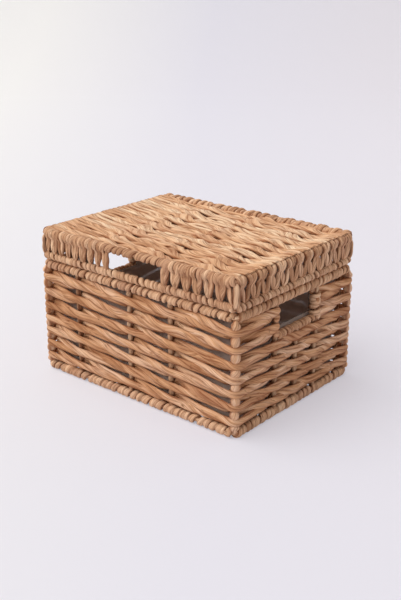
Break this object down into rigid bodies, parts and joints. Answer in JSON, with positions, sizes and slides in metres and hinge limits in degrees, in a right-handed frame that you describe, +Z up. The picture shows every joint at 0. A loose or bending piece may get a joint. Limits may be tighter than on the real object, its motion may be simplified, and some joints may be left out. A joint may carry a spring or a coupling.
{
  "type": "woven lidded box",
  "caption": "Rectangular basket box of twined flat plant strand on a wrapped frame, with hand holes, a clear liner and a laced lift-off lid.",
  "frame": {"origin": "middle of the footprint, on the surface that the box stands on", "axes": "+X along the length, +Y from the front long side to the back, +Z up"},
  "size_m": [0.38, 0.288, 0.2292],
  "materials": {
    "strand": "flat twisted dried plant strand, matt to satin",
    "rim_wrap": "narrow dried plant strand wound closely round a core, matt to satin",
    "lacing": "dried plant strand laced in a zigzag, matt to satin",
    "stake": "plain round cane, matt",
    "liner": "clear thin sheet"
  },
  "bodies": {
    "basket": {"base_rim": "rim_wrap", "body_rim": "rim_wrap", "corner_post_front_left": "stake", "corner_post_front_right": "stake", "corner_post_back_right": "stake", "corner_post_back_left": "stake", "front_stake_1": "stake", "front_stake_2": "stake", "front_stake_3": "stake", "right_stake_1": "stake", "right_stake_2": "stake", "right_stake_3": "stake", "back_stake_1": "stake", "back_stake_2": "stake", "back_stake_3": "stake", "left_stake_1": "stake", "left_stake_2": "stake", "left_stake_3": "stake", "row_1": "strand", "row_2": "strand", "row_3": "strand", "row_4": "strand", "row_5": "strand", "row_6_front": "strand", "row_6_back": "strand", "row_7_front": "strand", "row_7_back": "strand", "handle_bar_right": "rim_wrap", "handle_bar_left": "rim_wrap", "base_wire_1": "stake", "base_wire_2": "stake", "base_wire_3": "stake", "base_weave": "strand", "liner": "liner"},
    "lid": {"lid_lower_rim": "rim_wrap", "lid_upper_rim": "rim_wrap", "lid_post_front_left": "stake", "lid_post_front_right": "stake", "lid_post_back_right": "stake", "lid_post_back_left": "stake", "lid_lacing_front": "lacing", "lid_lacing_right": "lacing", "lid_lacing_back": "lacing", "lid_lacing_left": "lacing", "lid_stake_1": "stake", "lid_stake_2": "stake", "lid_stake_3": "stake", "lid_row_1": "strand", "lid_row_2": "strand", "lid_row_3": "strand", "lid_row_4": "strand", "lid_row_5": "strand", "lid_row_6": "strand", "lid_row_7": "strand", "lid_row_8": "strand", "lid_row_9": "strand", "lid_row_10": "strand", "lid_row_11": "strand", "lid_row_12": "strand"}
  },
  "joints": [
    {"name": "lid_lift", "type": "slide", "parent": "basket", "child": "lid", "axis": [0, 0, 1], "range_m": [0, 0.15]}
  ]
}
